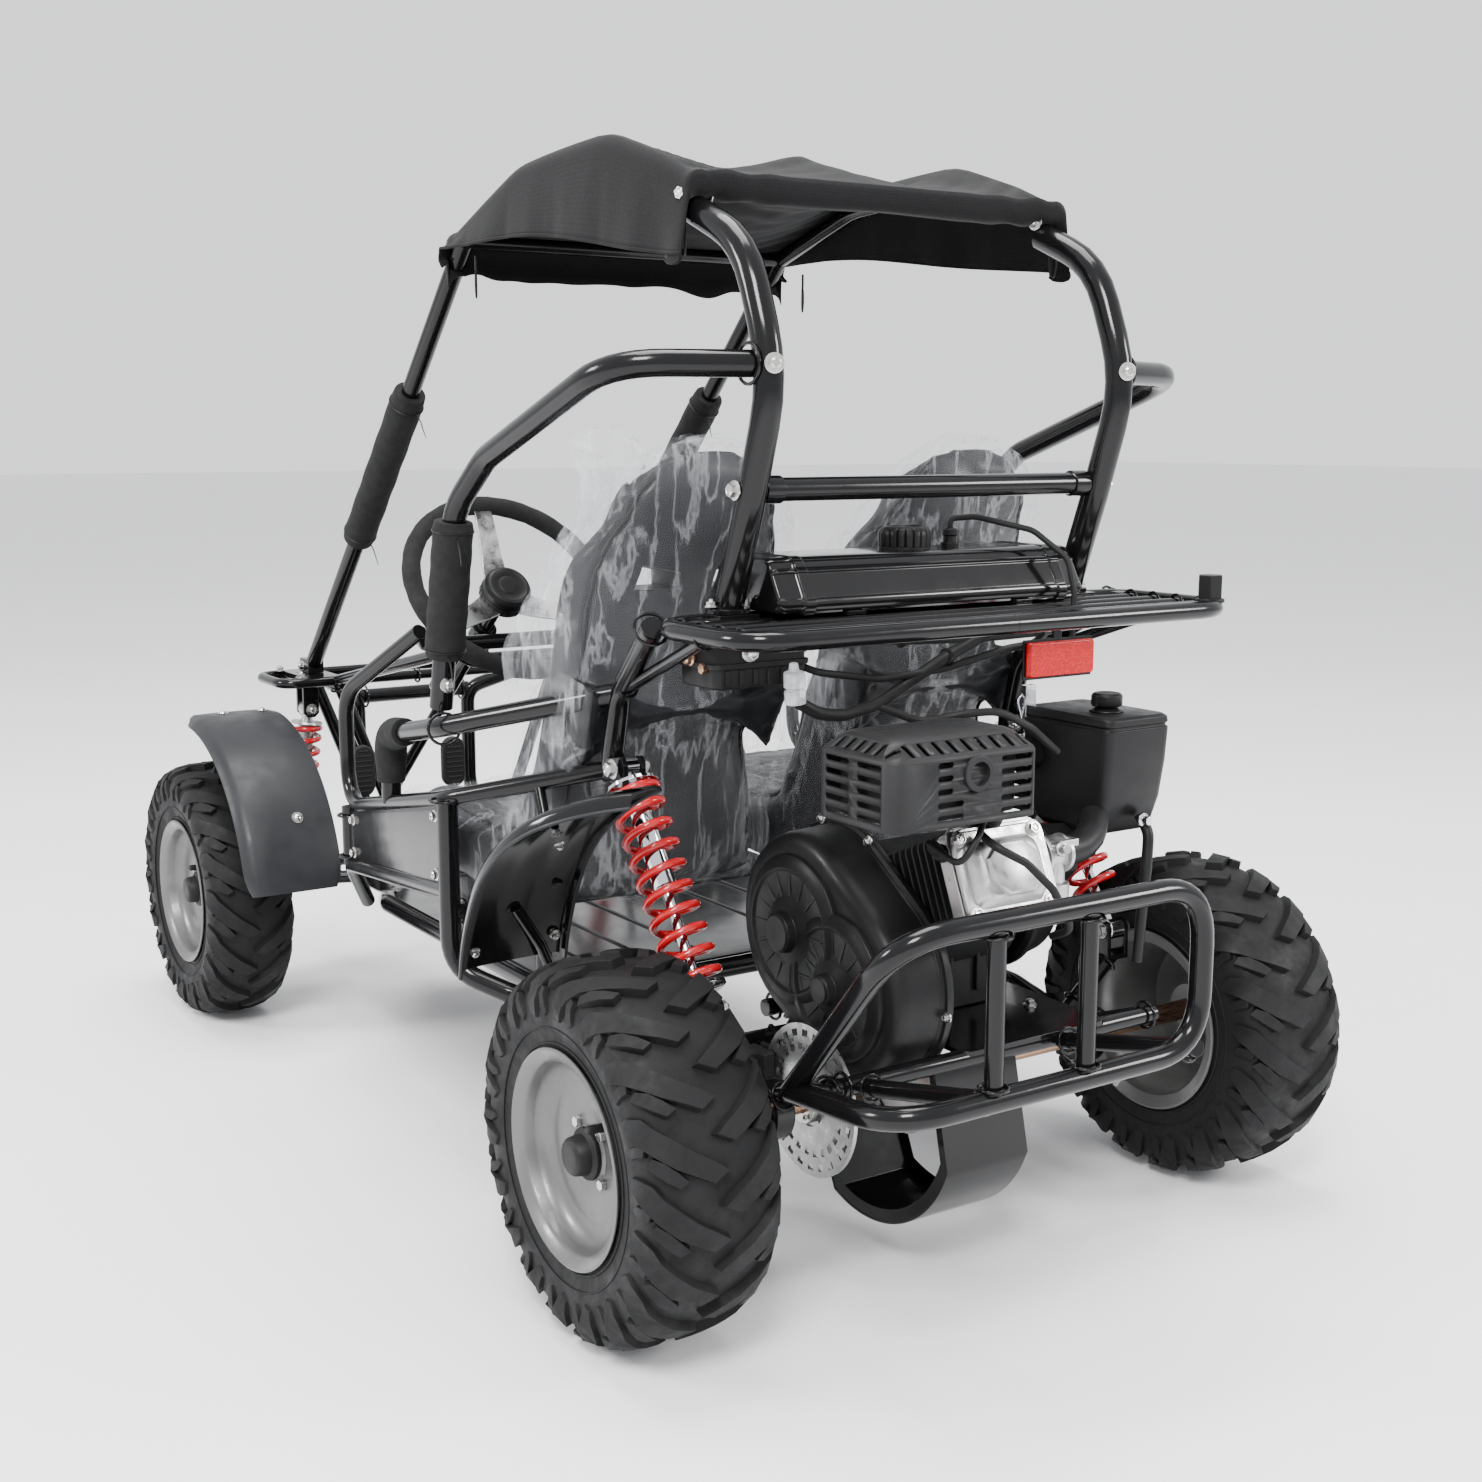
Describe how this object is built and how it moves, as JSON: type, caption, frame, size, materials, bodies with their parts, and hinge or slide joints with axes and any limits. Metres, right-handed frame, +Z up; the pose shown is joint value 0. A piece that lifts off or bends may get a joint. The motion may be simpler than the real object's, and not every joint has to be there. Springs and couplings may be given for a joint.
{
  "type": "off road go kart",
  "caption": "Two-seat off road go kart with a tube frame, cloth roof, rear engine on a sprung swing arm and steered, sprung front wheels.",
  "frame": {"origin": "centre of the bounding box's bottom face, on the ground", "axes": "+Z up, +Y towards the kart's rear along its length, +X to the kart's left"},
  "size_m": [0.98, 1.8604, 1.2589],
  "materials": {
    "frame_paint": "gloss black powder coat",
    "satin_black_metal": "satin black paint",
    "black_plastic": "moulded satin black",
    "gloss_plastic": "gloss black",
    "grey_plastic": "satin dark grey",
    "canopy_cloth": "black woven cloth",
    "seat_cover": "black vinyl in clear film",
    "tyre_rubber": "moulded black rubber",
    "rim_silver": "satin silver paint",
    "spring_red": "gloss red paint",
    "damper_chrome": "polished",
    "cast_metal": "bright cast",
    "engine_metal": "dark cast",
    "axle_zinc": "copper-gold zinc plate"
  },
  "bodies": {
    "chassis": {"floor_frame": "frame_paint", "side_frame_left": "frame_paint", "side_frame_right": "frame_paint", "rear_rack": "frame_paint", "roll_hoop_left": "frame_paint", "roll_hoop_right": "frame_paint", "hoop_cross_bar": "frame_paint", "roof_frame": "frame_paint", "front_post_left": "frame_paint", "front_post_right": "frame_paint", "side_arm_left": "frame_paint", "side_arm_right": "frame_paint", "canopy": "canopy_cloth", "seat_left": "seat_cover", "seat_right": "seat_cover", "fuel_tank": "gloss_plastic", "battery_box": "black_plastic", "rear_fender_left": "gloss_plastic", "rear_fender_right": "gloss_plastic"},
    "fuel_cap": {"fuel_cap": "black_plastic"},
    "steering": {"steering_wheel": "black_plastic"},
    "throttle_pedal": {"throttle_pedal": "satin_black_metal"},
    "brake_pedal": {"brake_pedal": "satin_black_metal"},
    "swing_arm": {"swing_arm": "frame_paint", "engine_block": "engine_metal", "valve_cover": "cast_metal", "muffler": "satin_black_metal", "air_cleaner": "black_plastic", "belt_cover": "black_plastic", "rear_bumper": "frame_paint"},
    "rear_axle": {"rear_axle": "axle_zinc", "rear_rim_left": "rim_silver", "rear_rim_right": "rim_silver", "rear_tyre_left": "tyre_rubber", "rear_tyre_right": "tyre_rubber"},
    "tie_rod_left": {"tie_rod_left": "frame_paint"},
    "front_arm_left": {"front_arm_left": "frame_paint"},
    "knuckle_left": {"steering_knuckle_left": "frame_paint", "front_fender_left": "grey_plastic"},
    "front_wheel_left": {"front_rim_left": "rim_silver", "front_tyre_left": "tyre_rubber"},
    "front_shock_body_left": {"front_shock_body_left": "damper_chrome", "front_spring_left": "spring_red"},
    "front_shock_rod_left": {"front_shock_rod_left": "damper_chrome"},
    "rear_shock_body_left": {"rear_shock_body_left": "damper_chrome", "rear_spring_left": "spring_red"},
    "rear_shock_rod_left": {"rear_shock_rod_left": "damper_chrome"},
    "tie_rod_right": {"tie_rod_right": "frame_paint"},
    "front_arm_right": {"front_arm_right": "frame_paint"},
    "knuckle_right": {"steering_knuckle_right": "frame_paint", "front_fender_right": "grey_plastic"},
    "front_wheel_right": {"front_rim_right": "rim_silver", "front_tyre_right": "tyre_rubber"},
    "front_shock_body_right": {"front_shock_body_right": "damper_chrome", "front_spring_right": "spring_red"},
    "front_shock_rod_right": {"front_shock_rod_right": "damper_chrome"},
    "rear_shock_body_right": {"rear_shock_body_right": "damper_chrome", "rear_spring_right": "spring_red"},
    "rear_shock_rod_right": {"rear_shock_rod_right": "damper_chrome"}
  },
  "joints": [
    {"name": "fuel_cap_turn", "type": "hinge", "parent": "chassis", "child": "fuel_cap", "pos_m": [-0.004, 0.51325, 0.806], "axis": [0, 0, 1], "range_deg": [0, 90]},
    {"name": "steering_turn", "type": "hinge", "parent": "chassis", "child": "steering", "pos_m": [0.19, -0.65475, 0.281], "axis": [0, 0.7727, 0.6348], "range_deg": [-55, 55]},
    {"name": "throttle_press", "type": "hinge", "parent": "chassis", "child": "throttle_pedal", "pos_m": [0.066, -0.59575, 0.246], "axis": [1, 0, 0], "range_deg": [0, 15], "stiffness_Nm_per_rad": 4, "springref_deg": -17.19},
    {"name": "brake_press", "type": "hinge", "parent": "chassis", "child": "brake_pedal", "pos_m": [0.224, -0.59575, 0.246], "axis": [1, 0, 0], "range_deg": [0, 15], "stiffness_Nm_per_rad": 4, "springref_deg": -17.19},
    {"name": "swing_arm_hinge", "type": "hinge", "parent": "chassis", "child": "swing_arm", "pos_m": [0, 0.27025, 0.248], "axis": [1, 0, 0], "range_deg": [-4, 7], "stiffness_Nm_per_rad": 2200, "springref_deg": -5.73},
    {"name": "rear_axle_spin", "type": "hinge", "parent": "swing_arm", "child": "rear_axle", "pos_m": [0, 0.58825, 0.203], "axis": [1, 0, 0], "continuous": true},
    {"name": "tie_rod_left_slide", "type": "slide", "parent": "chassis", "child": "tie_rod_left", "axis": [1, 0, 0], "range_m": [-0.031, 0.031]},
    {"name": "front_arm_left_hinge", "type": "hinge", "parent": "chassis", "child": "front_arm_left", "pos_m": [0.135, -0.72525, 0.205], "axis": [0, -1, 0], "range_deg": [-6, 6], "stiffness_Nm_per_rad": 310, "springref_deg": -9.17},
    {"name": "kingpin_left", "type": "hinge", "parent": "front_arm_left", "child": "knuckle_left", "pos_m": [0.35, -0.72525, 0.205], "axis": [0, 0, 1], "range_deg": [-19.6, 19.6]},
    {"name": "front_wheel_left_spin", "type": "hinge", "parent": "knuckle_left", "child": "front_wheel_left", "pos_m": [0.427, -0.72525, 0.205], "axis": [1, 0, 0], "continuous": true},
    {"name": "front_shock_left_pivot", "type": "hinge", "parent": "chassis", "child": "front_shock_body_left", "pos_m": [0.262, -0.72475, 0.484], "axis": [0, -1, 0], "range_deg": [-1.5, 1.5]},
    {"name": "front_shock_left_slide", "type": "slide", "parent": "front_shock_body_left", "child": "front_shock_rod_left", "axis": [0.1283, 0, -0.9917], "range_m": [-0.028, 0.019], "deforming": ["front_spring_left"]},
    {"name": "rear_shock_left_pivot", "type": "hinge", "parent": "chassis", "child": "rear_shock_body_left", "pos_m": [0.3, 0.40005, 0.5615], "axis": [1, 0, 0], "range_deg": [-2, 3]},
    {"name": "rear_shock_left_slide", "type": "slide", "parent": "rear_shock_body_left", "child": "rear_shock_rod_left", "axis": [0, 0.5701, -0.8216], "range_m": [-0.037, 0.022], "deforming": ["rear_spring_left"]},
    {"name": "tie_rod_right_slide", "type": "slide", "parent": "chassis", "child": "tie_rod_right", "axis": [1, 0, 0], "range_m": [-0.031, 0.031]},
    {"name": "front_arm_right_hinge", "type": "hinge", "parent": "chassis", "child": "front_arm_right", "pos_m": [-0.135, -0.72525, 0.205], "axis": [0, 1, 0], "range_deg": [-6, 6], "stiffness_Nm_per_rad": 310, "springref_deg": -9.17},
    {"name": "kingpin_right", "type": "hinge", "parent": "front_arm_right", "child": "knuckle_right", "pos_m": [-0.35, -0.72525, 0.205], "axis": [0, 0, 1], "range_deg": [-19.6, 19.6]},
    {"name": "front_wheel_right_spin", "type": "hinge", "parent": "knuckle_right", "child": "front_wheel_right", "pos_m": [-0.427, -0.72525, 0.205], "axis": [1, 0, 0], "continuous": true},
    {"name": "front_shock_right_pivot", "type": "hinge", "parent": "chassis", "child": "front_shock_body_right", "pos_m": [-0.262, -0.72475, 0.484], "axis": [0, 1, 0], "range_deg": [-1.5, 1.5]},
    {"name": "front_shock_right_slide", "type": "slide", "parent": "front_shock_body_right", "child": "front_shock_rod_right", "axis": [-0.1283, 0, -0.9917], "range_m": [-0.028, 0.019], "deforming": ["front_spring_right"]},
    {"name": "rear_shock_right_pivot", "type": "hinge", "parent": "chassis", "child": "rear_shock_body_right", "pos_m": [-0.3, 0.40005, 0.5615], "axis": [1, 0, 0], "range_deg": [-2, 3]},
    {"name": "rear_shock_right_slide", "type": "slide", "parent": "rear_shock_body_right", "child": "rear_shock_rod_right", "axis": [0, 0.5701, -0.8216], "range_m": [-0.037, 0.022], "deforming": ["rear_spring_right"]}
  ],
  "couplings": [
    {"joint": "tie_rod_left_slide", "follows": "steering_turn", "m_per_rad": -0.0297},
    {"joint": "kingpin_left", "follows": "steering_turn", "ratio": 0.3545},
    {"joint": "front_shock_left_pivot", "follows": "front_arm_left_hinge", "ratio": -0.113},
    {"joint": "front_shock_left_slide", "follows": "front_arm_left_hinge", "m_per_rad": -0.1617},
    {"joint": "rear_shock_left_pivot", "follows": "swing_arm_hinge", "ratio": 0.371},
    {"joint": "rear_shock_left_slide", "follows": "swing_arm_hinge", "m_per_rad": -0.285},
    {"joint": "tie_rod_right_slide", "follows": "steering_turn", "m_per_rad": -0.0297},
    {"joint": "kingpin_right", "follows": "steering_turn", "ratio": 0.3545},
    {"joint": "front_shock_right_pivot", "follows": "front_arm_right_hinge", "ratio": -0.113},
    {"joint": "front_shock_right_slide", "follows": "front_arm_right_hinge", "m_per_rad": -0.1617},
    {"joint": "rear_shock_right_pivot", "follows": "swing_arm_hinge", "ratio": 0.371},
    {"joint": "rear_shock_right_slide", "follows": "swing_arm_hinge", "m_per_rad": -0.285}
  ]
}
